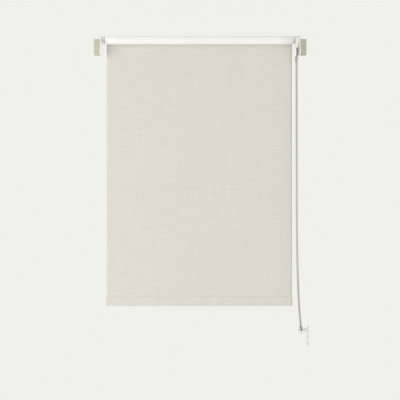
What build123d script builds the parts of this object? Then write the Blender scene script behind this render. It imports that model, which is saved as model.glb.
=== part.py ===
"""Thermal roller blind, 600 mm between the bracket arms, hung part of the way down. Millimetres.

The wall is the plane Y = 0 and the room is towards -Y. The origin lies on the wall, midway between the two
brackets and midway between the upper and lower bracket screws. X runs along the roller and Z points up.
"""

import os
from math import cos, pi, radians, sin, tan

from build123d import *

# Brackets: folded steel, each with a moulded cover over its arm
STEEL = 1.8
BEND_RADIUS = 1.9
BRACKET_HEIGHT = 51.0
ARM_REACH_TOP = 35.0
ARM_REACH_BOTTOM = 48.0
ARM_DROOP = 12.0
ARM_NOSE_TOP = 9.0
ARM_NOSE_BOTTOM = 6.0
FLANGE_REACH = 28.0
FLANGE_CORNER = 3.0
SCREW_RADIUS = 2.3
SCREW_SPACING = 26.0
SCREW_FROM_ARM = 15.0
COVER_WALL = 1.05
COVER_SLACK = 0.12
COVER_BACK = 5.0
COVER_EDGE = 0.7

# Roller axis, from the wall, from the middle of the bracket screws and from the top of the brackets
AXIS_OUT = 30.0
AXIS_UP = 17.0
AXIS_BELOW_TOP = 14.0

# Cloth: woven face towards the room, thermal coating towards the window
CLOTH_WIDTH = 560.0
IDLE_EDGE_TO_ARM = 14.5
CONTROL_EDGE_TO_ARM = 19.5
FACE_THICK = 0.27
COATING_THICK = 0.15
DROP = 799.0
ROLLED_TURNS = 7.7
CLOTH_GAP = 0.3
WRAP_ANGLE = 50.0
TAPE_THICK = 0.1
TAPE_WIDTH = 8.0
TAPE_SLACK = 0.03

# Hem
POCKET_HEIGHT = 26.0
SEAM_HEIGHT = 4.0
BAR_THICK = 3.6
BAR_WALL = 0.9
BAR_SLACK = 0.15
CAP_THICK = 1.4
CAP_TENON = 9.0

# Roller tube
TUBE_RADIUS = 9.0
TUBE_WALL = 0.7
TUBE_PAST_CLOTH = 4.0
KEY_WIDTH = 4.0
KEY_DEPTH = 1.5
PLUG_FIT = 0.05

# Idle end: plug with a sprung pin
PLUG_DEPTH = 28.0
PLUG_RIM_RADIUS = 10.4
PLUG_RIM_THICK = 3.5
PIN_RADIUS = 2.5
PIN_FIT = 0.05
PIN_BARREL_RADIUS = 3.6
PIN_SHOULDER_RADIUS = 5.1
PIN_SHOULDER_THICK = 2.2
PIN_TAIL_RADIUS = 2.0
PIN_TAIL = 7.0
PLUG_NECK = 6.5
PLUG_CAVITY_RADIUS = 5.5
PLUG_FLOOR = 2.0
SPRING_WIRE = 0.8
SPRING_RADIUS = 3.7
SPRING_TURNS = 5

# Bead chain and the two wheels that it runs on
BEAD_RADIUS = 2.25
BEAD_PITCH = 6.0
LINK_RADIUS = 0.8
POCKETS = 8
CHAIN_TO_ARM = 8.0
WHEEL_WIDTH = 7.4
WHEEL_RIM = 1.0
POCKET_SLACK = 0.15
TURN_CORNERS = 6
SLOT_SLACK = 0.3

# Control end: drive wheel on a fixed arbor, held by two wrap springs
ARBOR_RADIUS = 3.2
ARBOR_FIT = 0.05
ARBOR_FLANGE_RADIUS = 5.2
ARBOR_FLANGE_THICK = 1.5
TONGUE_WIDTH = 5.0
TONGUE_HEIGHT = 12.0
TONGUE_FIT = 0.1
CROWN_DEPTH = 32.0
CROWN_BEARING = 4.5
CROWN_CAVITY_RADIUS = 5.7
COLLAR_RADIUS = 10.4
COLLAR_THICK = 2.1
HUB_RADIUS = 7.0
SIDE_GAP = 0.3
WRAP_WIRE = 0.9
WRAP_PITCH = 1.25
WRAP_TURNS = 6
WRAP_FIT = 0.02
DRIVE_RIB = 1.6
TANG_ANGLE = 26.0

# Chain guard
GUARD_PAST_FLANGE = 12.0
GUARD_WALL = 1.3
GUARD_BEAD_SLACK = 0.7
NECK_WALL = 1.0
NECK_SLACK = 0.4
NECK_CORNER = 3.0
WINDOW_WIDTH = 5.0
LOWER_WINDOW_HEIGHT = 8.0
LOWER_WINDOW_ABOVE_END = 12.0
UPPER_WINDOW_HEIGHT = 10.0
UPPER_WINDOW_ABOVE_END = 25.5
FRONT_SLOT_HEIGHT = 24.0

# Chain guide on the side wall
GUIDE_PAST_ARM = 4.3
GUIDE_DOWN = 868.0
GUIDE_PITCH_RADIUS = 7.0
GUIDE_WHEEL_WIDTH = 5.6
GUIDE_GROOVE_SLACK = 0.15
GUIDE_SIDE_GAP = 0.5
GUIDE_CHEEK = 1.5
GUIDE_RIM_GAP = 0.65
GUIDE_PIN_RADIUS = 1.5
GUIDE_PIN_HEAD = 2.7
GUIDE_PIN_HEAD_THICK = 0.8
GUIDE_NECK_RADIUS = 5.0
GUIDE_PLATE_THICK = 3.0
GUIDE_PLATE_WIDTH = 16.0
GUIDE_PLATE_DOWN = 50.0
GUIDE_PLATE_UP = 13.0
GUIDE_SCREW_RADIUS = 1.9
GUIDE_SCREW_FIRST = 22.0
GUIDE_SCREW_SPACING = 19.0

# Pieces on the chain
STOP_RADIUS = 4.2
STOP_BELOW_GUARD = 8.5
CONNECTOR_RADIUS = 3.3
CONNECTOR_LENGTH = 13.0
CONNECTOR_BELOW_GUARD = 6.5
CHAIN_FIT = 0.05

# Sizes that follow from those above
ARM_X = (CLOTH_WIDTH + IDLE_EDGE_TO_ARM + CONTROL_EDGE_TO_ARM) / 2
AXIS_Y = -AXIS_OUT
BRACKET_TOP = AXIS_UP + AXIS_BELOW_TOP
BRACKET_FOOT = BRACKET_TOP - BRACKET_HEIGHT
CLOTH_LEFT = IDLE_EDGE_TO_ARM - ARM_X
CLOTH_THICK = FACE_THICK + COATING_THICK
CLOTH_RIGHT = CLOTH_LEFT + CLOTH_WIDTH
ROLL_INNER = TUBE_RADIUS + TAPE_THICK + 2 * TAPE_SLACK
ROLL_RADIUS = ROLL_INNER + ROLLED_TURNS * CLOTH_THICK
SHEET_INNER = ROLL_RADIUS + CLOTH_GAP
SHEET_MIDDLE = SHEET_INNER + CLOTH_THICK / 2
TUBE_LEFT = CLOTH_LEFT - TUBE_PAST_CLOTH
TUBE_RIGHT = CLOTH_RIGHT + TUBE_PAST_CLOTH
WALL_SIDE_X = ARM_X + FLANGE_REACH
COVER_HALF = STEEL / 2 + COVER_SLACK + COVER_WALL
CHAIN_X = ARM_X - CHAIN_TO_ARM
GUIDE_X = ARM_X + GUIDE_PAST_ARM
PITCH_RADIUS = BEAD_PITCH / 2 / sin(pi / POCKETS)
WHEEL_RADIUS = PITCH_RADIUS + WHEEL_RIM
WHEEL_LEFT = CHAIN_X - WHEEL_WIDTH / 2
WHEEL_RIGHT = CHAIN_X + WHEEL_WIDTH / 2
GUARD_INNER_RADIUS = PITCH_RADIUS + BEAD_RADIUS + GUARD_BEAD_SLACK
GUARD_OUTER_RADIUS = GUARD_INNER_RADIUS + GUARD_WALL
GUARD_RIGHT = ARM_X - COVER_HALF - SIDE_GAP
GUARD_LEFT = TUBE_RIGHT + COLLAR_THICK + SIDE_GAP
NECK_HALF = BEAD_RADIUS + NECK_SLACK + NECK_WALL
GUARD_DROP = BRACKET_HEIGHT - AXIS_BELOW_TOP + GUARD_PAST_FLANGE
GUIDE_Z = AXIS_UP - GUIDE_DOWN

# Route of each side of the chain, from the drive wheel down to the guide: down, right, out from the middle
CHAIN_ROUTE = [
    (0.0, 0.0, PITCH_RADIUS),
    (447.0, 0.4, 7.41),
    (577.0, 1.3, 7.28),
    (667.0, 2.7, 7.19),
    (732.0, 4.5, 7.12),
    (782.0, 6.8, 7.07),
    (822.0, 9.6, 7.03),
    (850.0, GUIDE_X - CHAIN_X, GUIDE_PITCH_RADIUS),
    (GUIDE_DOWN, GUIDE_X - CHAIN_X, GUIDE_PITCH_RADIUS),
]


def across(x, y=AXIS_Y, z=AXIS_UP):
    """A plane square to the roller at x, whose own axes run towards the wall and up."""
    return Plane(origin=(x, y, z), x_dir=(0, 1, 0), z_dir=(1, 0, 0))


def bar(x_from, x_to, section, y=AXIS_Y, z=AXIS_UP):
    """The section drawn across the roller, carried from one x to the other."""
    return extrude(across(x_from, y, z) * section, amount=x_to - x_from)


def turned(*profile, y=AXIS_Y, z=AXIS_UP):
    """The profile of (x, radius) points turned about an axis along X."""
    half = Plane(origin=(0, y, z), x_dir=(1, 0, 0), z_dir=(0, -1, 0))
    outline = half * Polyline(*profile, close=True)
    return revolve(make_face(outline), axis=Axis((0, y, z), (1, 0, 0)))


def upright_slot(height, width):
    """A slot-shaped outline that stands upright."""
    return Rot(0, 0, 90) * SlotOverall(height, width)


# Brackets


def arm_outline():
    """Side of a bracket's arm, seen along the roller, with the wall at 0."""
    corners = [
        (0, BRACKET_FOOT),
        (0, BRACKET_TOP),
        (-ARM_REACH_TOP, BRACKET_TOP),
        (-ARM_REACH_BOTTOM, BRACKET_FOOT - ARM_DROOP),
        (-COVER_BACK, BRACKET_FOOT),
    ]
    radii = [0, 0, ARM_NOSE_TOP, ARM_NOSE_BOTTOM, 0]
    return make_face(FilletPolyline(*corners, radius=radii, close=True))


def bracket(arm_hole):
    """A right-hand bracket: one steel strip folded outwards at the wall."""
    fold = FilletPolyline(
        (ARM_X, -ARM_REACH_BOTTOM - STEEL),
        (ARM_X, -STEEL / 2),
        (WALL_SIDE_X, -STEEL / 2),
        radius=BEND_RADIUS,
    )
    strip = extrude(trace(fold, STEEL), amount=BRACKET_HEIGHT, both=True)
    inner = ARM_X - STEEL
    side = extrude(across(inner, 0, 0) * arm_outline(), amount=FLANGE_REACH + 2 * STEEL)
    flange = Pos(0, BRACKET_TOP - BRACKET_HEIGHT / 2) * RectangleRounded(
        2 * WALL_SIDE_X, BRACKET_HEIGHT, FLANGE_CORNER
    )
    arm = Pos(ARM_X, 0) * Rectangle(4 * STEEL, 2 * BRACKET_HEIGHT)
    front = extrude(Plane.XZ * (flange + arm), amount=ARM_REACH_BOTTOM + STEEL)
    piece = strip & side & front
    for up in (-SCREW_SPACING / 2, SCREW_SPACING / 2):
        place = Plane.XZ * Pos(ARM_X + SCREW_FROM_ARM, up)
        piece -= extrude(place * Circle(SCREW_RADIUS), amount=2 * STEEL, both=True)
    return piece - bar(inner, ARM_X + STEEL, arm_hole)


def cover(inside_hole):
    """The moulded cover that slides over a right-hand bracket's arm from the front."""
    skin = offset(arm_outline(), amount=COVER_SLACK + COVER_WALL)
    hollow = offset(arm_outline(), amount=COVER_SLACK)
    half_hollow = STEEL / 2 + COVER_SLACK
    shell = bar(ARM_X - COVER_HALF, ARM_X + COVER_HALF, skin, 0, 0)
    shell = chamfer(shell.faces().sort_by(Axis.X)[0].edges(), COVER_EDGE / 2)
    shell = chamfer(shell.faces().sort_by(Axis.X)[-1].edges(), COVER_EDGE)
    shell -= bar(ARM_X - half_hollow, ARM_X + half_hollow, hollow, 0, 0)
    depth = COVER_BACK + ARM_REACH_BOTTOM
    keep = Pos(ARM_X, -COVER_BACK - depth / 2, 0) * Box(
        4 * COVER_HALF, depth, 2 * BRACKET_HEIGHT
    )
    return (shell & keep) - bar(ARM_X - 2 * COVER_HALF, ARM_X, inside_hole)


tongue = Rectangle(TONGUE_WIDTH, TONGUE_HEIGHT)
tongue_window = Rectangle(TONGUE_WIDTH + 2 * TONGUE_FIT, TONGUE_HEIGHT + 2 * TONGUE_FIT)
pin_seat = Circle(PIN_RADIUS + PIN_FIT)
pin_window = Circle(PIN_RADIUS + SIDE_GAP)

right_bracket = bracket(tongue_window)
left_bracket = mirror(bracket(pin_seat), about=Plane.YZ)
right_bracket_cover = cover(tongue_window)
left_bracket_cover = mirror(cover(pin_window), about=Plane.YZ)

# Roller tube and what is rolled on it


def keyed(radius, slack, wall=0.0):
    """A round section with the tube's key groove at the top, cut wider by the wall and the slack."""
    width = KEY_WIDTH + 2 * (wall + slack)
    depth = KEY_DEPTH + wall + slack
    return Circle(radius) - Pos(0, TUBE_RADIUS) * Rectangle(width, 2 * depth)


tube_section = keyed(TUBE_RADIUS, 0) - keyed(TUBE_RADIUS - TUBE_WALL, 0, TUBE_WALL)
roller_tube = bar(TUBE_LEFT, TUBE_RIGHT, tube_section)

tape_ring = Circle(ROLL_INNER - TAPE_SLACK) - Circle(TUBE_RADIUS + TAPE_SLACK)
tape_section = tape_ring & (Pos(0, -TUBE_RADIUS) * Rectangle(TAPE_WIDTH, TUBE_RADIUS))
cloth_tape = bar(CLOTH_LEFT, CLOTH_RIGHT, tape_section)
rolled_cloth = bar(CLOTH_LEFT, CLOTH_RIGHT, Circle(ROLL_RADIUS) - Circle(ROLL_INNER))


def hanging_band(inner, outer):
    """Section of one layer that follows the back of the roll, then hangs straight down to the hem's seam."""
    low = -(DROP - POCKET_HEIGHT - SEAM_HEIGHT)
    turn = radians(WRAP_ANGLE)
    inner_end = (inner * cos(turn), inner * sin(turn))
    outer_end = (outer * cos(turn), outer * sin(turn))
    return make_face(
        [
            Line((inner, low), (inner, 0)),
            CenterArc((0, 0), inner, 0, WRAP_ANGLE),
            Line(inner_end, outer_end),
            CenterArc((0, 0), outer, 0, WRAP_ANGLE),
            Line((outer, 0), (outer, low)),
            Line((outer, low), (inner, low)),
        ]
    )


face_outer = SHEET_INNER + FACE_THICK
hanging_cloth = bar(CLOTH_LEFT, CLOTH_RIGHT, hanging_band(SHEET_INNER, face_outer))
thermal_backing = bar(
    CLOTH_LEFT, CLOTH_RIGHT, hanging_band(face_outer, face_outer + COATING_THICK)
)

# Hem: a welded pocket round a hollow bar

POCKET_DEPTH = BAR_THICK + 2 * (BAR_SLACK + CLOTH_THICK)
BAR_HEIGHT = POCKET_HEIGHT - 2 * (BAR_SLACK + CLOTH_THICK)
hem_middle = Pos(SHEET_MIDDLE, POCKET_HEIGHT / 2 - DROP)
seam_overlap = POCKET_DEPTH / 2
seam_middle = Pos(SHEET_MIDDLE, POCKET_HEIGHT - DROP + (SEAM_HEIGHT - seam_overlap) / 2)
pocket_outside = upright_slot(POCKET_HEIGHT, POCKET_DEPTH)
pocket_inside = upright_slot(BAR_HEIGHT + 2 * BAR_SLACK, BAR_THICK + 2 * BAR_SLACK)
seam = Rectangle(2 * CLOTH_THICK, SEAM_HEIGHT + seam_overlap)
pocket_section = hem_middle * pocket_outside + seam_middle * seam
pocket_section -= hem_middle * pocket_inside
hem_pocket = bar(CLOTH_LEFT, CLOTH_RIGHT, pocket_section)

bar_hollow = upright_slot(BAR_HEIGHT - 2 * BAR_WALL, BAR_THICK - 2 * BAR_WALL)
bar_section = upright_slot(BAR_HEIGHT, BAR_THICK) - bar_hollow
bar_section += Rectangle(BAR_THICK - BAR_WALL, BAR_WALL)
hem_bar = bar(CLOTH_LEFT, CLOTH_RIGHT, hem_middle * bar_section)


def hem_cap(end, outwards):
    """End cap whose two tenons fill the bar on either side of its web."""
    cap = bar(end, end + outwards * CAP_THICK, hem_middle * pocket_outside)
    thick = BAR_THICK - 2 * (BAR_WALL + PLUG_FIT)
    tall = BAR_HEIGHT / 4
    for up in (-BAR_HEIGHT / 4, BAR_HEIGHT / 4):
        tenon = hem_middle * Pos(0, up) * Rectangle(thick, tall)
        cap += bar(end, end - outwards * CAP_TENON, tenon)
    return cap


hem_cap_left = hem_cap(CLOTH_LEFT, -1)
hem_cap_right = hem_cap(CLOTH_RIGHT, 1)

# Idle end

plug_inside = keyed(TUBE_RADIUS - TUBE_WALL - PLUG_FIT, PLUG_FIT, TUBE_WALL)
rim_left = TUBE_LEFT - PLUG_RIM_THICK
neck_end = rim_left + PLUG_NECK
plug_end = TUBE_LEFT + PLUG_DEPTH
idle_plug = bar(TUBE_LEFT, plug_end, plug_inside)
idle_plug += turned(
    (rim_left, 0),
    (rim_left, PLUG_RIM_RADIUS - 1),
    (rim_left + 1, PLUG_RIM_RADIUS),
    (TUBE_LEFT, PLUG_RIM_RADIUS),
    (TUBE_LEFT, 0),
)
idle_plug -= bar(rim_left, neck_end, Circle(PIN_BARREL_RADIUS + PIN_FIT))
idle_plug -= bar(neck_end, plug_end - PLUG_FLOOR, Circle(PLUG_CAVITY_RADIUS))

shoulder_end = neck_end + PIN_SHOULDER_THICK
tip = -(ARM_X + STEEL / 2)
idle_pin = turned(
    (tip, 0),
    (tip, PIN_RADIUS - 0.6),
    (tip + 0.6, PIN_RADIUS),
    (rim_left - 1, PIN_RADIUS),
    (rim_left - 1, PIN_BARREL_RADIUS),
    (neck_end, PIN_BARREL_RADIUS),
    (neck_end, PIN_SHOULDER_RADIUS),
    (shoulder_end, PIN_SHOULDER_RADIUS),
    (shoulder_end, PIN_TAIL_RADIUS),
    (shoulder_end + PIN_TAIL, PIN_TAIL_RADIUS),
    (shoulder_end + PIN_TAIL, 0),
)


def coil(x_from, pitch, turns, radius, section):
    """A wire of the given section wound about the roller axis, starting at x_from."""
    path = Helix(pitch, pitch * turns, radius, (x_from, AXIS_Y, AXIS_UP), (1, 0, 0))
    start = Plane(origin=path @ 0, x_dir=(1, 0, 0), z_dir=path % 0)
    return sweep(start * section, path=path, is_frenet=True)


spring_room = plug_end - PLUG_FLOOR - shoulder_end - SPRING_WIRE - 2 * PIN_FIT
idle_spring = coil(
    shoulder_end + SPRING_WIRE / 2 + PIN_FIT,
    spring_room / SPRING_TURNS,
    SPRING_TURNS,
    SPRING_RADIUS,
    Circle(SPRING_WIRE / 2),
)

# Control end

crown_left = TUBE_RIGHT - CROWN_DEPTH
cavity_right = TUBE_RIGHT - COLLAR_THICK
arbor_flange_left = GUARD_RIGHT - GUARD_WALL - ARBOR_FLANGE_THICK
collar_right = TUBE_RIGHT + COLLAR_THICK

drive_wheel = bar(crown_left, TUBE_RIGHT, plug_inside)
drive_wheel += turned(
    (TUBE_RIGHT, 0),
    (TUBE_RIGHT, COLLAR_RADIUS),
    (collar_right, COLLAR_RADIUS),
    (collar_right, HUB_RADIUS),
    (WHEEL_LEFT, HUB_RADIUS),
    (WHEEL_LEFT, WHEEL_RADIUS - 1),
    (WHEEL_LEFT + 1, WHEEL_RADIUS),
    (WHEEL_RIGHT - 1, WHEEL_RADIUS),
    (WHEEL_RIGHT, WHEEL_RADIUS - 1),
    (WHEEL_RIGHT, 0),
)
slot_bottom = PITCH_RADIUS - LINK_RADIUS - SLOT_SLACK
slot_half = LINK_RADIUS + SLOT_SLACK
drive_wheel -= turned(
    (CHAIN_X - slot_half, slot_bottom),
    (CHAIN_X - slot_half, WHEEL_RADIUS + 1),
    (CHAIN_X + slot_half, WHEEL_RADIUS + 1),
    (CHAIN_X + slot_half, slot_bottom),
)
for turn in range(POCKETS):
    angle = 2 * pi * turn / POCKETS
    place = (
        CHAIN_X,
        AXIS_Y + PITCH_RADIUS * cos(angle),
        AXIS_UP + PITCH_RADIUS * sin(angle),
    )
    drive_wheel -= Pos(*place) * Sphere(BEAD_RADIUS + POCKET_SLACK)
drive_wheel -= bar(crown_left, WHEEL_RIGHT, Circle(ARBOR_RADIUS + ARBOR_FIT))
drive_wheel -= bar(
    arbor_flange_left - SIDE_GAP, WHEEL_RIGHT, Circle(ARBOR_FLANGE_RADIUS + SIDE_GAP)
)
cavity = Circle(CROWN_CAVITY_RADIUS) - Pos(0, CROWN_CAVITY_RADIUS) * Rectangle(
    DRIVE_RIB, DRIVE_RIB
)
drive_wheel -= bar(crown_left + CROWN_BEARING, cavity_right, cavity)

tongue_end = ARM_X + STEEL / 2
arbor_end = crown_left - SIDE_GAP
control_arbor = turned(
    (arbor_end - 2, 0),
    (arbor_end - 2, ARBOR_RADIUS - 1),
    (arbor_end - 1, ARBOR_RADIUS + 1),
    (arbor_end, ARBOR_RADIUS + 1),
    (arbor_end, ARBOR_RADIUS),
    (arbor_flange_left, ARBOR_RADIUS),
    (arbor_flange_left, ARBOR_FLANGE_RADIUS),
    (arbor_flange_left + ARBOR_FLANGE_THICK, ARBOR_FLANGE_RADIUS),
    (arbor_flange_left + ARBOR_FLANGE_THICK, 0),
)
control_arbor += bar(arbor_flange_left + ARBOR_FLANGE_THICK, tongue_end, tongue)


def wrap_spring(x_from):
    """Square-wire coil that grips the arbor, with a tang beside the crown's drive rib."""
    radius = ARBOR_RADIUS + ARBOR_FIT + WRAP_FIT + WRAP_WIRE / 2
    wire = Rectangle(WRAP_WIRE, WRAP_WIRE)
    spring = coil(x_from, WRAP_PITCH, WRAP_TURNS, radius, wire)
    start = Helix(WRAP_PITCH, WRAP_PITCH, radius, (x_from, AXIS_Y, AXIS_UP), (1, 0, 0)) @ 0
    outwards = start - Vector(x_from, AXIS_Y, AXIS_UP)
    tang = Plane(origin=start, x_dir=(1, 0, 0), z_dir=outwards) * wire
    spring += extrude(tang, amount=CROWN_CAVITY_RADIUS - radius - SIDE_GAP)
    turn = 90 - TANG_ANGLE - Vector(0, 1, 0).get_signed_angle(outwards, Vector(1, 0, 0))
    return spring.rotate(Axis((0, AXIS_Y, AXIS_UP), (1, 0, 0)), turn)


springs_from = crown_left + CROWN_BEARING + WRAP_WIRE
springs_apart = (cavity_right - springs_from) / 2
clutch_springs = Compound(
    [wrap_spring(springs_from), wrap_spring(springs_from + springs_apart)]
)

# Chain guard: a drum round the drive wheel and a flat neck round the two sides of the chain

drum_outline = Circle(GUARD_OUTER_RADIUS)
neck_outline = Pos(0, -GUARD_DROP / 2) * Rectangle(2 * GUARD_OUTER_RADIUS, GUARD_DROP)
neck_outline = fillet(neck_outline.vertices().sort_by(Axis.Y)[:2], NECK_CORNER)
neck_inside = Pos(0, -GUARD_DROP / 2 - GUARD_WALL) * Rectangle(
    2 * GUARD_INNER_RADIUS, GUARD_DROP + 2 * GUARD_WALL
)
neck_inside += Circle(GUARD_INNER_RADIUS)
chain_guard = bar(GUARD_LEFT, GUARD_RIGHT, drum_outline)
chain_guard += bar(CHAIN_X - NECK_HALF, CHAIN_X + NECK_HALF, neck_outline)
chain_guard -= bar(
    GUARD_LEFT + GUARD_WALL, GUARD_RIGHT - GUARD_WALL, Circle(GUARD_INNER_RADIUS)
)
chain_guard -= bar(
    CHAIN_X - NECK_HALF + NECK_WALL, CHAIN_X + NECK_HALF - NECK_WALL, neck_inside
)
chain_guard -= bar(GUARD_LEFT, CHAIN_X, Circle(WHEEL_RADIUS + 2 * SIDE_GAP))
chain_guard -= bar(CHAIN_X, GUARD_RIGHT, tongue_window)
rib_top = -(WHEEL_RADIUS + GUARD_WALL)
rib_tall = GUARD_DROP + rib_top
rib = Rectangle(NECK_WALL, rib_tall)
rib_out = PITCH_RADIUS - BEAD_RADIUS - NECK_SLACK - NECK_WALL
for side in (-rib_out, rib_out):
    chain_guard += bar(
        CHAIN_X - NECK_HALF,
        CHAIN_X + NECK_HALF,
        Pos(side, rib_top - rib_tall / 2) * rib,
    )
for height, above_end in (
    (LOWER_WINDOW_HEIGHT, LOWER_WINDOW_ABOVE_END),
    (UPPER_WINDOW_HEIGHT, UPPER_WINDOW_ABOVE_END),
):
    up = above_end + height / 2 - GUARD_DROP
    window = Pos(PITCH_RADIUS, up) * Rectangle(WINDOW_WIDTH, height)
    chain_guard -= bar(CHAIN_X - NECK_HALF - NECK_WALL, CHAIN_X, window)
front_slot = Pos(-GUARD_OUTER_RADIUS, FRONT_SLOT_HEIGHT / 2 - GUARD_DROP) * Rectangle(
    4 * GUARD_WALL, FRONT_SLOT_HEIGHT
)
slot_half = NECK_HALF - NECK_WALL
chain_guard -= bar(CHAIN_X - slot_half, CHAIN_X + slot_half, front_slot)

# Chain guide, screwed to the side wall

cavity_half = GUIDE_WHEEL_WIDTH / 2 + GUIDE_SIDE_GAP
guide_reach = GUIDE_PITCH_RADIUS + BEAD_RADIUS + GUIDE_RIM_GAP
guide_outer = guide_reach + GUIDE_CHEEK
plate_left = WALL_SIDE_X - GUIDE_PLATE_THICK
cheek_right = GUIDE_X + cavity_half + GUIDE_CHEEK


def at_guide(x_from, x_to, section):
    """The section carried along X, drawn about the guide wheel's axis."""
    return bar(x_from, x_to, section, AXIS_Y, GUIDE_Z)


below = Pos(0, -guide_outer) * Rectangle(2 * guide_outer, 2 * guide_outer)
guide_base = at_guide(GUIDE_X + cavity_half, cheek_right, Circle(guide_outer))
guide_base += at_guide(
    GUIDE_X - cavity_half, cheek_right, (Circle(guide_outer) - Circle(guide_reach)) & below
)
guide_base += at_guide(cheek_right, plate_left, Circle(GUIDE_NECK_RADIUS))
plate = Pos(0, (GUIDE_PLATE_UP - GUIDE_PLATE_DOWN) / 2) * upright_slot(
    GUIDE_PLATE_UP + GUIDE_PLATE_DOWN, GUIDE_PLATE_WIDTH
)
for down in (GUIDE_SCREW_FIRST, GUIDE_SCREW_FIRST + GUIDE_SCREW_SPACING):
    plate -= Pos(0, -down) * Circle(GUIDE_SCREW_RADIUS)
guide_base += at_guide(plate_left, WALL_SIDE_X, plate)
guide_base -= at_guide(GUIDE_X, plate_left, Circle(GUIDE_PIN_RADIUS))

cover_left = GUIDE_X - cavity_half - GUIDE_CHEEK
guide_cover = at_guide(
    cover_left, GUIDE_X - cavity_half, Circle(guide_outer) - Circle(GUIDE_PIN_RADIUS)
)
guide_cover = chamfer(guide_cover.faces().sort_by(Axis.X)[0].outer_wire().edges(), 0.6)

guide_pin = at_guide(cover_left, plate_left, Circle(GUIDE_PIN_RADIUS))
guide_pin += at_guide(
    cover_left - GUIDE_PIN_HEAD_THICK, cover_left, Circle(GUIDE_PIN_HEAD)
)

half_wheel = GUIDE_WHEEL_WIDTH / 2
guide_rim = GUIDE_PITCH_RADIUS + BEAD_RADIUS / 3
guide_wheel = at_guide(GUIDE_X - half_wheel, GUIDE_X + half_wheel, Circle(guide_rim))
groove = Pos(GUIDE_X, GUIDE_PITCH_RADIUS) * Circle(BEAD_RADIUS + GUIDE_GROOVE_SLACK)
guide_half = Plane(origin=(0, AXIS_Y, GUIDE_Z), x_dir=(1, 0, 0), z_dir=(0, -1, 0))
guide_axis = Axis((0, AXIS_Y, GUIDE_Z), (1, 0, 0))
guide_wheel -= revolve(guide_half * groove, axis=guide_axis)
guide_wheel -= at_guide(
    GUIDE_X - half_wheel, GUIDE_X + half_wheel, Circle(GUIDE_PIN_RADIUS + PIN_FIT)
)

# Bead chain: plain tubes along its two sides and round the guide, its bare link round the drive wheel

link_end = (WHEEL_RADIUS**2 - (PITCH_RADIUS - BEAD_RADIUS) ** 2) ** 0.5 + SIDE_GAP


def chain_side(direction, name):
    """One side of the loop, which closes in on the guide as it goes down."""
    points = []
    for down, right, out in CHAIN_ROUTE:
        down = max(down, link_end)
        points.append(Vector(CHAIN_X + right, AXIS_Y + direction * out, AXIS_UP - down))
    radii = []
    for before, corner, after in zip(points, points[1:], points[2:]):
        run_in = corner - before
        run_out = after - corner
        half_turn = radians(run_in.get_angle(run_out)) / 2
        shorter = min(run_in.length, run_out.length)
        radii.append(0.45 * shorter / tan(half_turn))
    path = FilletPolyline(*points, radius=radii)
    section = Plane(origin=path @ 0, z_dir=path % 0) * Circle(BEAD_RADIUS)
    tube = sweep(section, path=path)
    share = tube.volume / (pi * BEAD_RADIUS**2 * path.length)
    print(name, "radii", [round(r) for r in radii], "volume share", round(share, 4))
    return tube


chain_front = chain_side(-1, "chain_front")
chain_back = chain_side(1, "chain_back")


def half_turn(radius, lead):
    """Path of the chain half way round a wheel, seen from its side, with a straight lead at each end."""
    step = pi / TURN_CORNERS
    corner = radius / cos(step / 2)
    turns = [step * (i + 0.5) for i in range(TURN_CORNERS)]
    points = [(corner * cos(turn), corner * sin(turn)) for turn in turns]
    return FilletPolyline((radius, -lead), *points, (-radius, -lead), radius=0.995 * radius)


link_path = across(CHAIN_X) * half_turn(PITCH_RADIUS, link_end)
link_start = Plane(origin=link_path @ 0, z_dir=link_path % 0)
chain_on_wheel = sweep(link_start * Circle(LINK_RADIUS), path=link_path)

guide_path = across(GUIDE_X, z=GUIDE_Z) * Rot(0, 0, 180) * half_turn(GUIDE_PITCH_RADIUS, 0)
guide_start = Plane(origin=guide_path @ 0, z_dir=guide_path % 0)
chain_round_guide = sweep(guide_start * Circle(BEAD_RADIUS), path=guide_path)
for name, path in (("chain_on_wheel", link_path), ("chain_round_guide", guide_path)):
    bends = [edge.radius for edge in path.edges() if edge.geom_type == GeomType.CIRCLE]
    print(name, "radii", sorted({round(bend, 2) for bend in bends}))


def on_chain(direction, down):
    """The place on the upper run of one side of the chain, this far below the roller's axis."""
    (_, _, out), (low, right, low_out) = CHAIN_ROUTE[:2]
    share = (down - link_end) / (low - link_end)
    out += share * (low_out - out)
    return Pos(CHAIN_X + share * right, AXIS_Y + direction * out, AXIS_UP - down)


chain_stop = on_chain(-1, GUARD_DROP + STOP_BELOW_GUARD) * (
    Sphere(STOP_RADIUS) - Cylinder(BEAD_RADIUS + 3 * CHAIN_FIT, 2 * STOP_RADIUS)
)
connector_body = Cylinder(CONNECTOR_RADIUS, CONNECTOR_LENGTH)
connector_body = chamfer(connector_body.edges(), (CONNECTOR_RADIUS - BEAD_RADIUS) / 3)
chain_connector = on_chain(1, GUARD_DROP + CONNECTOR_BELOW_GUARD) * (
    connector_body - Cylinder(BEAD_RADIUS + 3 * CHAIN_FIT, CONNECTOR_LENGTH)
)

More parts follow.
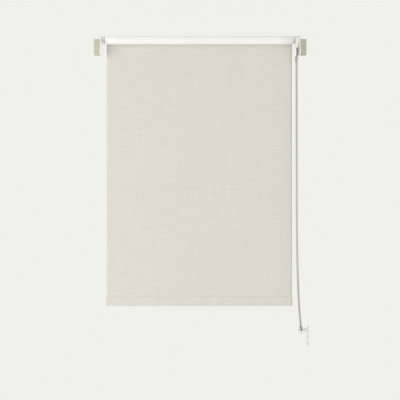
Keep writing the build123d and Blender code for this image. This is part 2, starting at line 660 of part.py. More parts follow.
PIECES = {
    "left_bracket": left_bracket,
    "left_bracket_cover": left_bracket_cover,
    "right_bracket": right_bracket,
    "right_bracket_cover": right_bracket_cover,
    "roller_tube": roller_tube,
    "cloth_tape": cloth_tape,
    "rolled_cloth": rolled_cloth,
    "hanging_cloth": hanging_cloth,
    "thermal_backing": thermal_backing,
    "hem_pocket": hem_pocket,
    "hem_bar": hem_bar,
    "hem_cap_left": hem_cap_left,
    "hem_cap_right": hem_cap_right,
    "idle_plug": idle_plug,
    "idle_pin": idle_pin,
    "idle_spring": idle_spring,
    "drive_wheel": drive_wheel,
    "control_arbor": control_arbor,
    "clutch_springs": clutch_springs,
    "chain_guard": chain_guard,
    "guide_base": guide_base,
    "guide_cover": guide_cover,
    "guide_pin": guide_pin,
    "guide_wheel": guide_wheel,
    "chain_front": chain_front,
    "chain_back": chain_back,
    "chain_on_wheel": chain_on_wheel,
    "chain_round_guide": chain_round_guide,
    "chain_stop": chain_stop,
    "chain_connector": chain_connector,
}

os.makedirs("parts", exist_ok=True)
for node, shape in PIECES.items():
    export_step(shape, f"parts/{node}.step")
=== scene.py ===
"""Dresses the solids of a thermal roller blind with its cloth, bead chain, screws and finishes. Metres.

The wall is the plane Y = 0, the room is towards -Y, X runs along the roller and Z points up.
"""

from math import cos, hypot, pi, radians, sin, tau

import bpy
import numpy as np
from bpy.props import FloatProperty, FloatVectorProperty, IntProperty, PointerProperty
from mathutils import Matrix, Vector


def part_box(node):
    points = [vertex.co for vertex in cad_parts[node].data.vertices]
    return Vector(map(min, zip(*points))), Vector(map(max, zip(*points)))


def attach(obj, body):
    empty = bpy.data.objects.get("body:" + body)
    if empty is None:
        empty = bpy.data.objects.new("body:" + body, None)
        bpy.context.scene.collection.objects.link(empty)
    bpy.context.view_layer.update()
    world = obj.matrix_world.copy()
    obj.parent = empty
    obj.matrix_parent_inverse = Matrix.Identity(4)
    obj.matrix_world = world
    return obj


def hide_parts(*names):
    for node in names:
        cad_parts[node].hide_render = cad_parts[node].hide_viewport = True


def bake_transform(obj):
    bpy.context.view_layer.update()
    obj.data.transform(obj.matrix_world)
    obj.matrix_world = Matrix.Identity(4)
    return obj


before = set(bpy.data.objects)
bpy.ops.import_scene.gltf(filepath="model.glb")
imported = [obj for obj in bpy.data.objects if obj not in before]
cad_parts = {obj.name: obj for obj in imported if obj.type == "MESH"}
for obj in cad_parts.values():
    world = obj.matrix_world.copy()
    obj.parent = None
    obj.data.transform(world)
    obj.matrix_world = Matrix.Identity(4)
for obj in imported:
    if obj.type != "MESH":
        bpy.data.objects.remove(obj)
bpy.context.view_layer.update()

bl_info = {
    "name": "Roller blind finish",
    "version": (1, 0, 0),
    "blender": (4, 5, 0),
    "location": "3D View > Sidebar > Blind",
    "description": "Gives a roller blind its cloth, bead chain, screws and finishes",
    "category": "Object",
}

ROLL_LOW, ROLL_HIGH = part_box("rolled_cloth")
HEM_LOW, HEM_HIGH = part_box("hem_pocket")
JOIN_LOW, JOIN_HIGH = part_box("chain_connector")
SPRING_LOW, SPRING_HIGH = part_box("idle_spring")

AXIS_Y = (ROLL_LOW.y + ROLL_HIGH.y) / 2
AXIS_Z = (ROLL_LOW.z + ROLL_HIGH.z) / 2
HANG_Y = (HEM_LOW.y + HEM_HIGH.y) / 2
JOIN_Z = (JOIN_LOW.z + JOIN_HIGH.z) / 2
CLOTH_LEFT, CLOTH_RIGHT = ROLL_LOW.x, ROLL_HIGH.x

# Control points of the chain's line: from the connector on its back strand over the drive wheel,
# down the front strand, round the guide and up the back strand to the connector again
CHAIN_ROUTE = [
    (0.28904, -0.02220, JOIN_Z + 0.002),
    (0.28900, -0.02216, 0.01490),
    (0.28900, -0.02216, 0.01910),
    (0.28900, -0.02426, 0.02274),
    (0.28900, -0.02790, 0.02484),
    (0.28900, -0.03210, 0.02484),
    (0.28900, -0.03574, 0.02274),
    (0.28900, -0.03784, 0.01910),
    (0.28900, -0.03784, 0.01490),
    (0.28940, -0.03741, -0.43000),
    (0.29030, -0.03728, -0.56000),
    (0.29170, -0.03719, -0.65000),
    (0.29350, -0.03712, -0.71500),
    (0.29580, -0.03707, -0.76500),
    (0.29860, -0.03703, -0.80500),
    (0.30130, -0.03700, -0.83300),
    (0.30130, -0.03700, -0.84912),
    (0.30130, -0.03700, -0.85288),
    (0.30130, -0.03512, -0.85612),
    (0.30130, -0.03188, -0.85800),
    (0.30130, -0.02812, -0.85800),
    (0.30130, -0.02488, -0.85612),
    (0.30130, -0.02300, -0.85288),
    (0.30130, -0.02300, -0.84912),
    (0.30130, -0.02300, -0.83300),
    (0.29860, -0.02297, -0.80500),
    (0.29580, -0.02293, -0.76500),
    (0.29350, -0.02288, -0.71500),
    (0.29170, -0.02281, -0.65000),
    (0.29030, -0.02272, -0.56000),
    (0.28940, -0.02259, -0.43000),
    (0.28904, -0.02221, JOIN_Z - 0.002),
]

# Seats of the screw heads, and the shanks, which end a little short of the wall
STEEL, GUIDE_PLATE, SHANK_SHORT = 0.0018, 0.003, 0.0001
BRACKET_SCREWS = [(x, -STEEL, z) for x in (-0.312, 0.312) for z in (-0.013, 0.013)]
GUIDE_SCREWS = [(0.322, -0.03, z) for z in (-0.873, -0.892)]
BRACKET_SHANK, GUIDE_SHANK = STEEL - SHANK_SHORT, GUIDE_PLATE - SHANK_SHORT

# Distance from one yarn of the cloth to the next
YARN_PITCH = 0.0008


def size(name, default, description, unit="LENGTH"):
    """A size that a user can change, named and described for the sidebar."""
    return FloatProperty(
        name=name, default=default, description=description, unit=unit, precision=5
    )


def colour(name, default, description):
    """A colour that a user can change."""
    return FloatVectorProperty(
        name=name, default=default, description=description, subtype="COLOR", min=0, max=1
    )


class BlindCloth(bpy.types.PropertyGroup):
    """Sizes of the cloth on the roll, hanging and round the hem bar."""

    thickness: size("Thickness", 0.00042, "Woven face and coating together")
    hang_y: size("Hanging plane", HANG_Y, "Y of the middle of the hanging cloth")
    hang_radius: size("Leaving radius", HANG_Y - AXIS_Y, "Middle of the cloth off the roll")
    roll_radius: size("Roll radius", ROLL_HIGH.z - AXIS_Z, "Outside of the rolled cloth")
    core_radius: size("Core radius", 0.00916, "Inside of the rolled cloth")
    wrap: size("Wrap", radians(50), "How far the hanging cloth follows the roll", "ROTATION")
    hem_edge: size("Hem edge", HEM_LOW.z, "Height of the lower edge")
    hem_height: size("Hem height", 0.026, "Height of the pocket for the bar")
    hem_depth: size("Hem depth", 0.00474, "Depth of the pocket over the bar")
    seam_height: size("Seam height", 0.004, "Height of the welded seam over the pocket")
    ripple: size("Ripple", 0.00035, "How far the hanging cloth leaves a true plane")
    stagger: size("Stagger", 0.0003, "How unevenly the turns end at the sides of the roll")
    seed: IntProperty(name="Seed", default=11, min=0, description="Start of the uneven turns")


class BlindChain(bpy.types.PropertyGroup):
    """Sizes of the bead chain."""

    bead: size("Bead diameter", 0.0045, "Diameter of one bead")
    pitch: size("Pitch", 0.006, "Distance from one bead to the next")
    link: size("Link diameter", 0.0015, "Diameter of the wire between two beads")
    facets: IntProperty(
        name="Bead facets", default=16, min=6, max=20, description="Sides round one bead"
    )


class BlindScrews(bpy.types.PropertyGroup):
    """Sizes of the screws that hold the brackets and the chain guide."""

    bracket_head: size("Bracket screw head", 0.0082, "Diameter of a bracket screw's head")
    guide_head: size("Guide screw head", 0.0064, "Diameter of a chain guide screw's head")
    seed: IntProperty(name="Seed", default=4, min=0, description="Start of the recesses' turns")


class BlindSpring(bpy.types.PropertyGroup):
    """Sizes of the spring behind the idle pin."""

    wire: size("Spring wire", 0.0008, "Diameter of the wire")
    turns: size("Spring turns", 5.0, "Number of turns", "NONE")


class BlindColours(bpy.types.PropertyGroup):
    """Colours of the materials."""

    face: colour("Cloth face", (0.750, 0.722, 0.667), "Woven side, towards the room")
    coating: colour("Coating", (0.955, 0.94, 0.925), "Thermal side, towards the window")
    # The brackets' tan is their paint, deepened by painted shade on the flanges
    steel: colour("Bracket steel", (0.61, 0.57, 0.465), "Paint on the brackets")
    white: colour("White plastic", (0.86, 0.85, 0.81), "Covers, guard and chain guide")
    ivory: colour("Ivory plastic", (0.70, 0.67, 0.58), "Plug, wheels and hem caps")
    chain: colour("Chain", (0.50, 0.475, 0.44), "Plated beads and links")
    screw: colour("Screws", (0.66, 0.63, 0.57), "Plated screws")
    aluminium: colour("Aluminium", (0.72, 0.72, 0.72), "Tube and hem bar")
    tape: colour("Tape", (0.74, 0.70, 0.62), "Tape between the tube and the cloth")
    spring: colour("Spring steel", (0.42, 0.42, 0.43), "Springs and the pin of the chain guide")


class BlindStage(bpy.types.PropertyGroup):
    """Camera, lamps and floor."""

    camera_x: size("Camera sideways", -0.0006, "X of the camera")
    camera_y: size("Camera distance", -1.48, "Y of the camera")
    camera_z: size("Camera height", -0.4618, "Z of the camera")
    lens: size("Lens", 43.5, "Focal length in millimetres", "NONE")
    floor_z: size("Floor", -1.4, "Height of the floor")
    key: size("Key lamp", 40.0, "Power of the lamp on the left", "POWER")
    fill: size("Fill lamp", 33.0, "Power of the lamp on the right", "POWER")
    top: size("Top lamp", 3.0, "Power of the lamp overhead", "POWER")
    back: size("Back lamp", 13.0, "Power of the lamp behind", "POWER")
    ambient: size("Ambient", 0.62, "Strength of the light from all round", "NONE")
    backdrop: colour("Backdrop", (0.87, 0.87, 0.845), "Tone behind the blind")


# Materials


def node_maker(tree):
    """A function that adds a node to the tree, links or sets its inputs and makes its settings."""

    def node(kind, inputs=(), **settings):
        new = tree.nodes.new(kind)
        for key, value in settings.items():
            setattr(new, key, value)
        for key, value in dict(inputs).items():
            if isinstance(value, bpy.types.NodeSocket):
                tree.links.new(value, new.inputs[key])
            else:
                new.inputs[key].default_value = value
        return new

    return node


def start_material(name, roughness, coords="Object", **sockets):
    """A new material with plain values on its shader.

    Gives the material, its shader, its links, its node maker and the coordinates.
    """
    made = bpy.data.materials.new(name)
    made.use_nodes = True
    links, node = made.node_tree.links, node_maker(made.node_tree)
    shader = made.node_tree.nodes["Principled BSDF"]
    shader.inputs["Roughness"].default_value = roughness
    for socket, value in sockets.items():
        shader.inputs[socket.replace("_", " ")].default_value = value
    if coords == "Object":
        where = node("ShaderNodeTexCoord").outputs["Object"]
    else:
        where = node("ShaderNodeUVMap", uv_map=coords).outputs["UV"]
    return made, shader, links, node, where


def noise(node, where, scale, detail, stretch=(1, 1, 1)):
    """Fac of a noise whose features are one over the scale, stretched by the given factors."""
    placed = node("ShaderNodeMapping", {"Vector": where, "Scale": stretch})
    made = node(
        "ShaderNodeTexNoise",
        {"Vector": placed.outputs["Vector"], "Scale": scale, "Detail": detail},
    )
    return made.outputs["Fac"]


def shade(base, factor):
    """A colour made darker or lighter, with alpha."""
    return (*(min(1.0, c * factor) for c in base), 1.0)


def times(node, first, second):
    """The product of two values."""
    return node("ShaderNodeMath", {0: first, 1: second}, operation="MULTIPLY").outputs[0]


def weighted(node, parts):
    """The sum of values, each times its weight."""
    total = None
    for value, weight in parts:
        part = times(node, value, weight)
        total = part if total is None else node("ShaderNodeMath", {0: total, 1: part}).outputs[0]
    return total


def in_range(node, value, low, high, start=0.0, end=1.0, kind="LINEAR"):
    """The value, moved from between low and high to between start and end."""
    made = node(
        "ShaderNodeMapRange",
        {"Value": value, "From Min": low, "From Max": high, "To Min": start, "To Max": end},
        interpolation_type=kind,
    )
    return made.outputs["Result"]


def mixed_colours(node, factor, first, second):
    """One colour socket or value over another, by the factor."""
    mixed = node("ShaderNodeMix", data_type="RGBA")
    tree = mixed.id_data
    for key, value in (("Factor", factor), ("A", first), ("B", second)):
        socket = [s for s in mixed.inputs if s.name == key and s.enabled][0]
        if isinstance(value, bpy.types.NodeSocket):
            tree.links.new(value, socket)
        else:
            socket.default_value = value
    return mixed.outputs["Result"]


def bumped(node, links, shader, height, depth, strength):
    """Relief of the given depth in metres."""
    bump = node("ShaderNodeBump", {"Height": height, "Distance": depth, "Strength": strength})
    links.new(bump.outputs["Normal"], shader.inputs["Normal"])


def colour_range(node, factor, base, spread):
    """Base colour that wanders by the spread either way."""
    return mixed_colours(node, factor, shade(base, 1 - spread), shade(base, 1 + spread))


def yarns(node, where, pitch):
    """Height of a plain weave whose yarns are one pitch apart."""
    split = node("ShaderNodeSeparateXYZ", {"Vector": where})
    waves = []
    for axis in ("X", "Y"):
        turns = times(node, split.outputs[axis], pi / pitch)
        waves.append(node("ShaderNodeMath", {0: turns}, operation="SINE").outputs[0])
    return times(node, *waves)


def cloth_face(base):
    """Woven face with slubs along both yarns, a fine check of painted shade between the yarns, and a
    little painted shade darkening the welded seam over the hem.
    """
    made, shader, links, node, where = start_material(
        "woven_face",
        0.88,
        "cloth",
        Sheen_Weight=0.12,
        Sheen_Roughness=0.5,
        Specular_IOR_Level=0.25,
    )
    weft = noise(node, where, 1.0, 3.0, (26, 620, 1))
    warp = noise(node, where, 1.0, 3.0, (620, 22, 1))
    broad_weft = noise(node, where, 1.0, 2.0, (15, 170, 1))
    broad_warp = noise(node, where, 1.0, 2.0, (170, 12, 1))
    weave = yarns(node, where, YARN_PITCH)
    # The weave's small share in the tone is painted shade between the yarns; the slubs and their bands
    # are the cloth's own tone
    tone = weighted(
        node, [(weft, 0.26), (warp, 0.17), (broad_weft, 0.31), (broad_warp, 0.21), (weave, 0.05)]
    )
    woven = colour_range(node, in_range(node, tone, 0.38, 0.57), base, 0.038)
    # Painted shade of the seam: along the weld the colour is mixed a little towards a darker tone
    seam = node("ShaderNodeAttribute", attribute_name="seam").outputs["Fac"]
    colours = mixed_colours(node, times(node, seam, 0.45), woven, shade(base, 0.88))
    links.new(colours, shader.inputs["Base Color"])
    height = weighted(node, [(weave, 0.25), (weft, 0.5), (warp, 0.35)])
    bumped(node, links, shader, height, 0.00022, 0.55)
    return made


def coating(base):
    """Smooth thermal coating through which the weave shows faintly."""
    made, shader, links, node, where = start_material(
        "thermal_coat", 0.52, "cloth", Specular_IOR_Level=0.4
    )
    cloud = noise(node, where, 6.0, 3.0)
    grain = noise(node, where, 900.0, 2.0)
    weft = noise(node, where, 1.0, 2.0, (26, 620, 1))
    tone = weighted(node, [(cloud, 0.6), (grain, 0.4)])
    links.new(colour_range(node, tone, base, 0.02), shader.inputs["Base Color"])
    weave = yarns(node, where, YARN_PITCH)
    height = weighted(node, [(weave, 0.15), (grain, 0.4), (weft, 0.45)])
    bumped(node, links, shader, height, 0.0001, 0.5)
    links.new(in_range(node, cloud, 0, 1, 0.46, 0.6), shader.inputs["Roughness"])
    return made


def plastic(name, base, roughness, grain):
    """Moulded plastic with a fine grain and slight clouding."""
    made, shader, links, node, where = start_material(name, roughness, Specular_IOR_Level=0.5)
    cloud = noise(node, where, 70.0, 3.0)
    fine = noise(node, where, 2600.0, 2.0)
    links.new(colour_range(node, cloud, base, 0.025), shader.inputs["Base Color"])
    rough = in_range(node, cloud, 0, 1, roughness - 0.07, roughness + 0.07)
    links.new(rough, shader.inputs["Roughness"])
    bumped(node, links, shader, weighted(node, [(fine, 0.7), (cloud, 0.3)]), 0.00004, grain)
    return made


def painted_steel(base):
    """Satin paint with a light orange peel and faint dust; its tan base tone is partly painted shade.
    """
    made, shader, links, node, where = start_material(
        "satin_paint", 0.42, Specular_IOR_Level=0.5, Coat_Weight=0.15, Coat_Roughness=0.3
    )
    peel = noise(node, where, 900.0, 1.0)
    dust = noise(node, where, 140.0, 4.0)
    links.new(colour_range(node, dust, base, 0.04), shader.inputs["Base Color"])
    bumped(node, links, shader, peel, 0.00005, 0.5)
    return made


def drawn_metal(name, base, roughness, stretch):
    """Bare or plated metal with fine lines, stretched by the given factors."""
    made, shader, links, node, where = start_material(name, roughness, Metallic=1.0)
    lines = noise(node, where, 1.0, 3.0, stretch)
    cloud = noise(node, where, 60.0, 2.0)
    links.new(colour_range(node, cloud, base, 0.05), shader.inputs["Base Color"])
    rough = in_range(node, lines, 0, 1, roughness - 0.08, roughness + 0.1)
    links.new(rough, shader.inputs["Roughness"])
    bumped(node, links, shader, lines, 0.00003, 0.5)
    return made


def adhesive_film(base):
    """Thin film with small trapped bubbles."""
    made, shader, links, node, where = start_material("tape_film", 0.3)
    spots = node("ShaderNodeTexVoronoi", {"Vector": where, "Scale": 700.0}).outputs["Distance"]
    links.new(colour_range(node, spots, base, 0.05), shader.inputs["Base Color"])
    bumped(node, links, shader, spots, 0.00003, 0.4)
    return made


def material(name):
    """The named material, made the first time that it is asked for."""
    if name in bpy.data.materials:
        return bpy.data.materials[name]
    tones = bpy.context.scene.blind_colours
    makers = {
        "woven_face": lambda: cloth_face(tones.face),
        "thermal_coat": lambda: coating(tones.coating),
        "satin_paint": lambda: painted_steel(tones.steel),
        "moulded_white": lambda: plastic(name, tones.white, 0.36, 0.35),
        "moulded_ivory": lambda: plastic(name, tones.ivory, 0.5, 0.6),
        "mill_aluminium": lambda: drawn_metal(name, tones.aluminium, 0.36, (25, 2500, 2500)),
        "spring_wire": lambda: drawn_metal(name, tones.spring, 0.3, (900, 900, 900)),
        "nickel_plate": lambda: drawn_metal(name, tones.chain, 0.24, (500, 500, 500)),
        "screw_plate": lambda: drawn_metal(name, tones.screw, 0.5, (700, 700, 700)),
        "tape_film": lambda: adhesive_film(tones.tape),
    }
    return makers[name]()


# Meshes


def piece(name, points, faces, *materials):
    """A smooth object with its place in its mesh."""
    mesh = bpy.data.meshes.new(name)
    mesh.from_pydata([tuple(p) for p in points], [], faces)
    for made in materials:
        mesh.materials.append(made)
    mesh.shade_smooth()
    mesh.update()
    made = bpy.data.objects.new(name, mesh)
    bpy.context.scene.collection.objects.link(made)
    return made


def plain_mesh(obj, name):
    """A plain copy of what the object's modifiers make."""
    graph = bpy.context.evaluated_depsgraph_get()
    mesh = bpy.data.meshes.new_from_object(obj.evaluated_get(graph), depsgraph=graph)
    bare = obj.data
    bpy.data.objects.remove(obj)
    bpy.data.meshes.remove(bare)
    mesh.name = name
    made = bpy.data.objects.new(name, mesh)
    bpy.context.scene.collection.objects.link(made)
    return made


def ring_faces(first, rings, sides):
    """Faces between rings of points, which follow one another from the first point."""
    faces = []
    for low in range(first, first + (rings - 1) * sides, sides):
        high = low + sides
        for side in range(sides):
            after = (side + 1) % sides
            faces.append((low + side, high + side, high + after, low + after))
    return faces


def eased(share):
    """A share from 0 to 1 that starts and ends slowly."""
    return share * share * (3 - 2 * share)


def lengths_along(points):
    """Distance from the first point to each."""
    steps = np.linalg.norm(np.diff(points, axis=0), axis=1)
    return np.concatenate([[0], np.cumsum(steps)])


def strip(name, profile, sides, columns, thin, seam, cloth, ripple=None):
    """Cloth as wide as the roll, along a profile of (y, z) points.

    sides gives the left and right end at each point, thin the share of the full thickness, seam
    the mark of the weld, where the material paints shade along the seam, and ripple a small move in
    y. The woven face is on the left of the profile as seen from the side with +Y to the right. The cut
    edges are shaded flat, so that the cloth doesn't look rounded towards them.
    """
    along = lengths_along(profile)
    points, places = [], []
    for row, (y, z) in enumerate(profile):
        left, right = sides(row)
        for column in range(columns + 1):
            x = left + (right - left) * column / columns
            out = ripple(x, z, row) if ripple else 0
            points.append((x, y + out, z))
            places.append((x, along[row]))
    wide = columns + 1
    faces = [
        (r * wide + c, (r + 1) * wide + c, (r + 1) * wide + c + 1, r * wide + c + 1)
        for r in range(len(profile) - 1)
        for c in range(columns)
    ]
    made = piece(name, points, faces, material("woven_face"), material("thermal_coat"))
    mesh = made.data
    where = mesh.uv_layers.new(name="cloth")
    corners = np.zeros(len(mesh.loops), np.int32)
    mesh.loops.foreach_get("vertex_index", corners)
    where.data.foreach_set("uv", np.array(places, np.float32)[corners].ravel())
    # The seam attribute tells the woven face where to paint shade along the weld
    marked = mesh.attributes.new("seam", "FLOAT", "POINT")
    marked.data.foreach_set("value", np.repeat(np.array(seam, np.float32), wide))
    group = made.vertex_groups.new(name="thickness")
    for row, share in enumerate(thin):
        group.add(range(row * wide, (row + 1) * wide), float(share), "REPLACE")
    solid = made.modifiers.new("Thickness", "SOLIDIFY")
    solid.thickness = cloth.thickness
    solid.offset = 0
    solid.vertex_group = group.name
    solid.material_offset = 1
    made = plain_mesh(made, name)
    smooth = np.ones(len(made.data.polygons), bool)
    smooth[2 * len(faces) :] = False
    made.data.polygons.foreach_set("use_smooth", smooth)
    return made


def screw(shank):
    """A screw with a cross recess in its pan head, which sits at Z = 0 and is one unit across.

    Its shank reaches down by the given length.
    """
    rings, sides, radius = 14, 64, 0.5
    tall, rim, arm, half_arm, recess = 0.34, 0.13, 0.27, 0.055, 0.16
    shank_radius, tip_radius, chamfer = 0.25, 0.22, 0.03
    under = [
        (radius, 0.0),
        (shank_radius, 0.0),
        (shank_radius, chamfer - shank),
        (tip_radius, -shank),
    ]

    def height(x, y):
        """Z of the head's top over a point."""
        dome = rim + (tall - rim) * (1 - (hypot(x, y) / radius) ** 3.2)
        near, far = sorted((abs(x), abs(y)))
        if near < half_arm and far < arm:
            return dome - recess * (1 - 0.5 * far / arm)
        return dome

    points = [(0, 0, height(0, 0))]
    for ring in range(1, rings + 1):
        out = radius * (ring / rings) ** 0.9
        for side in range(sides):
            turn = tau * side / sides
            x, y = out * cos(turn), out * sin(turn)
            points.append((x, y, height(x, y)))
    for out, up in under:
        for side in range(sides):
            turn = tau * side / sides
            points.append((out * cos(turn), out * sin(turn), up))
    faces = [(0, 1 + side, 1 + (side + 1) % sides) for side in range(sides)]
    faces += ring_faces(1, rings + len(under), sides)
    faces.append(range(len(points) - 1, len(points) - 1 - sides, -1))
    return piece("screw", points, faces)


# Node groups


def start_tree(name, sockets, result):
    """A new Geometry Nodes group with its inputs and its result.

    Gives the group, its node maker and its inputs as they are inside it.
    """
    tree = bpy.data.node_groups.new(name, "GeometryNodeTree")
    tree.is_modifier = True
    for socket, kind in sockets.items():
        tree.interface.new_socket(name=socket, in_out="INPUT", socket_type="NodeSocket" + kind)
    tree.interface.new_socket(name=result, in_out="OUTPUT", socket_type="NodeSocketGeometry")
    return tree, node_maker(tree), tree.nodes.new("NodeGroupInput").outputs


def set_input(modifier, name, value):
    """Sets a Geometry Nodes modifier's input by the identifier of its socket."""
    for item in modifier.node_group.interface.items_tree:
        if item.item_type == "SOCKET" and item.in_out == "INPUT" and item.name == name:
            modifier[item.identifier] = value
            return
    raise RuntimeError(f"the node group has no input called {name}")


def bead_tree():
    """Node group that sets a bead on each point of a chain's line and a wire link along it."""
    sockets = {
        "Line": "Geometry",
        "Bead diameter": "Float",
        "Link diameter": "Float",
        "Facets": "Int",
        "Metal": "Material",
    }
    tree, node, given = start_tree("Bead chain", sockets, "Chain")
    bead = node(
        "GeometryNodeMeshUVSphere",
        {
            "Segments": given["Facets"],
            "Rings": times(node, given["Facets"], 0.6),
            "Radius": times(node, given["Bead diameter"], 0.5),
        },
    )
    beads = node(
        "GeometryNodeInstanceOnPoints",
        {"Points": given["Line"], "Instance": bead.outputs["Mesh"]},
    )
    line = node("GeometryNodeMeshToCurve", {"Mesh": given["Line"]})
    section = node(
        "GeometryNodeCurvePrimitiveCircle",
        {"Resolution": 6, "Radius": times(node, given["Link diameter"], 0.5)},
    )
    links = node(
        "GeometryNodeCurveToMesh",
        {
            "Curve": line.outputs["Curve"],
            "Profile Curve": section.outputs["Curve"],
            "Fill Caps": True,
        },
    )
    both = node("GeometryNodeJoinGeometry")
    tree.links.new(links.outputs["Mesh"], both.inputs[0])
    tree.links.new(beads.outputs["Instances"], both.inputs[0])
    real = node("GeometryNodeRealizeInstances", {"Geometry": both.outputs[0]})
    smooth = node("GeometryNodeSetShadeSmooth", {"Geometry": real.outputs[0]})
    plated = node(
        "GeometryNodeSetMaterial", {"Geometry": smooth.outputs[0], "Material": given["Metal"]}
    )
    node("NodeGroupOutput", {"Chain": plated.outputs[0]})
    return tree


def screw_tree():
    """Node group that sets a screw on each point, its recess turned by chance."""
    sockets = {
        "Places": "Geometry",
        "Screw": "Object",
        "Diameter": "Float",
        "Lean": "Float",
        "Turn": "Float",
        "Metal": "Material",
        "Seed": "Int",
    }
    tree, node, given = start_tree("Screws", sockets, "Screws")
    shape = node("GeometryNodeObjectInfo", {"Object": given["Screw"]})
    chance = node("FunctionNodeRandomValue", {"Seed": given["Seed"], "Max": 3.0})
    spin = node("ShaderNodeCombineXYZ", {"Z": chance.outputs[1]})
    lean = node("ShaderNodeCombineXYZ", {"X": given["Lean"], "Z": given["Turn"]})
    wide = node("ShaderNodeCombineXYZ", {axis: given["Diameter"] for axis in "XYZ"})
    turned = node(
        "FunctionNodeRotateEuler",
        {"Rotation": lean.outputs[0], "Rotate By": spin.outputs[0]},
        space="LOCAL",
    )
    screws = node(
        "GeometryNodeInstanceOnPoints",
        {
            "Points": given["Places"],
            "Instance": shape.outputs["Geometry"],
            "Rotation": turned.outputs[0],
            "Scale": wide.outputs[0],
        },
    )
    real = node("GeometryNodeRealizeInstances", {"Geometry": screws.outputs[0]})
    plated = node(
        "GeometryNodeSetMaterial", {"Geometry": real.outputs[0], "Material": given["Metal"]}
    )
    node("NodeGroupOutput", {"Screws": plated.outputs[0]})
    return tree


# Operators


class BLIND_OT_stage(bpy.types.Operator):
    """Camera at the viewing angle, soft lamps, pale floor and backdrop tone"""

    bl_idname = "blind.stage"
    bl_label = "Stage"

    def execute(self, context):
        stage = context.scene.blind_stage
        context.scene.view_settings.view_transform = "Standard"
        data = bpy.data.cameras.new("Camera")
        data.lens, data.sensor_width = stage.lens, 36
        camera = bpy.data.objects.new("Camera", data)
        camera.location = (stage.camera_x, stage.camera_y, stage.camera_z)
        camera.rotation_euler = (pi / 2, 0, 0)
        context.scene.collection.objects.link(camera)
        context.scene.camera = camera
        middle = Vector((0, -0.03, -0.35))
        lamps = [
            ("key_lamp", (-2.4, -1.7, -0.6), stage.key, 2.2),
            ("fill_lamp", (2.4, -1.7, -1.3), stage.fill, 2.2),
            ("top_lamp", (0.0, -0.9, 2.2), stage.top, 2.0),
            ("back_lamp", (0.0, 2.6, 0.4), stage.back, 2.4),
        ]
        for name, place, power, width in lamps:
            lamp = bpy.data.lights.new(name, "AREA")
            lamp.energy, lamp.size, lamp.color = power, width, (1.0, 0.995, 0.985)
            made = bpy.data.objects.new(name, lamp)
            made.location = place
            aim = middle - Vector(place)
            made.rotation_euler = aim.to_track_quat("-Z", "Y").to_euler()
            context.scene.collection.objects.link(made)
        self.light_world(context.scene, stage)
        self.lay_floor(stage)
        return {"FINISHED"}

    def light_world(self, scene, stage):
        """Even light all round, with the backdrop tone where the camera and reflections look."""
        world = bpy.data.worlds.new("Backdrop")
        world.use_nodes = True
        world.node_tree.nodes.clear()
        node = node_maker(world.node_tree)
        even = {"Color": (1.0, 1.0, 0.995, 1), "Strength": stage.ambient}
        lit = node("ShaderNodeBackground", even)
        seen = node("ShaderNodeBackground", {"Color": (*stage.backdrop, 1)})
        rays = node("ShaderNodeLightPath").outputs
        factor = rays["Is Camera Ray"]
        for ray in ("Is Glossy Ray", "Is Transmission Ray"):
            either = node("ShaderNodeMath", {0: factor, 1: rays[ray]}, operation="MAXIMUM")
            factor = either.outputs[0]
        mix = node("ShaderNodeMixShader", {"Fac": factor, 1: lit.outputs[0], 2: seen.outputs[0]})
        node("ShaderNodeOutputWorld", {"Surface": mix.outputs[0]})
        scene.world = world

    def lay_floor(self, stage):
        """A round pale floor that runs out into the backdrop tone."""
        rings, sides, reach = 24, 64, 9.0
        points = [(0, 0, stage.floor_z)]
        for ring in range(1, rings + 1):
            out = reach * (ring / rings) ** 2
            for side in range(sides):
                turn = tau * side / sides
                points.append((out * cos(turn), out * sin(turn), stage.floor_z))
        faces = [(0, 1 + side, 1 + (side + 1) % sides) for side in range(sides)]
        faces += ring_faces(1, rings, sides)
        made, shader, links, node, where = start_material("floor", 0.8, Specular_IOR_Level=0.2)
        tone = noise(node, where, 3.0, 2.0)
        links.new(colour_range(node, tone, stage.backdrop, 0.01), shader.inputs["Base Color"])
        away = node("ShaderNodeVectorMath", {0: where}, operation="LENGTH").outputs["Value"]
        fade = in_range(node, away, 1.4, 1.55, start=0.6, kind="SMOOTHSTEP")
        seen = node("ShaderNodeLightPath").outputs["Is Camera Ray"]
        plain = node("ShaderNodeEmission", {"Color": (*stage.backdrop, 1)})
        both = {1: shader.outputs["BSDF"], 2: plain.outputs["Emission"]}
        mix = node("ShaderNodeMixShader", {"Fac": times(node, fade, seen), **both})
        links.new(mix.outputs[0], made.node_tree.nodes["Material Output"].inputs["Surface"])
        piece("floor", points, faces, made)


